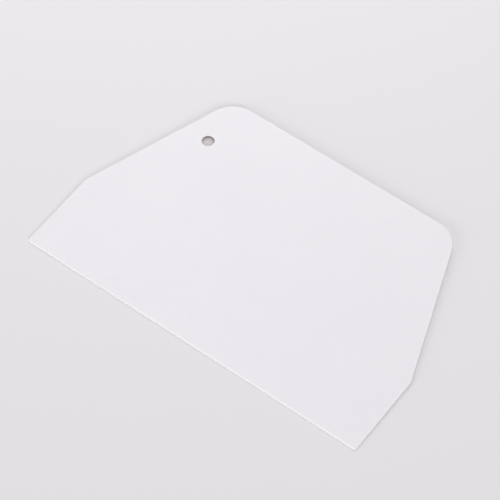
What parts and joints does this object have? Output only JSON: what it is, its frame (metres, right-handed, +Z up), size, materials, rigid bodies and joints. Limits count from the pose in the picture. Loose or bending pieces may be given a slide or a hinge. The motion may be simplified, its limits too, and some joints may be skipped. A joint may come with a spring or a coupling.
{
  "type": "bench scraper",
  "caption": "Flat moulded plastic plate that thins towards its long straight working edge, with square shoulders, a tapered back with rounded corners, and an off-centre hanging hole.",
  "frame": {"origin": "middle of the plate's footprint, on the face that it rests on", "axes": "+X along the working edge, with the hanging hole on the -X side; +Y from the working edge to the back edge; +Z up, through the thickness, from the flat underside"},
  "size_m": [0.1524, 0.0996, 0.0016],
  "materials": {
    "plate": "white moulded polypropylene, fine satin texture, slightly translucent"
  },
  "bodies": {
    "root": {"scraper_plate": "plate"}
  },
  "joints": []
}
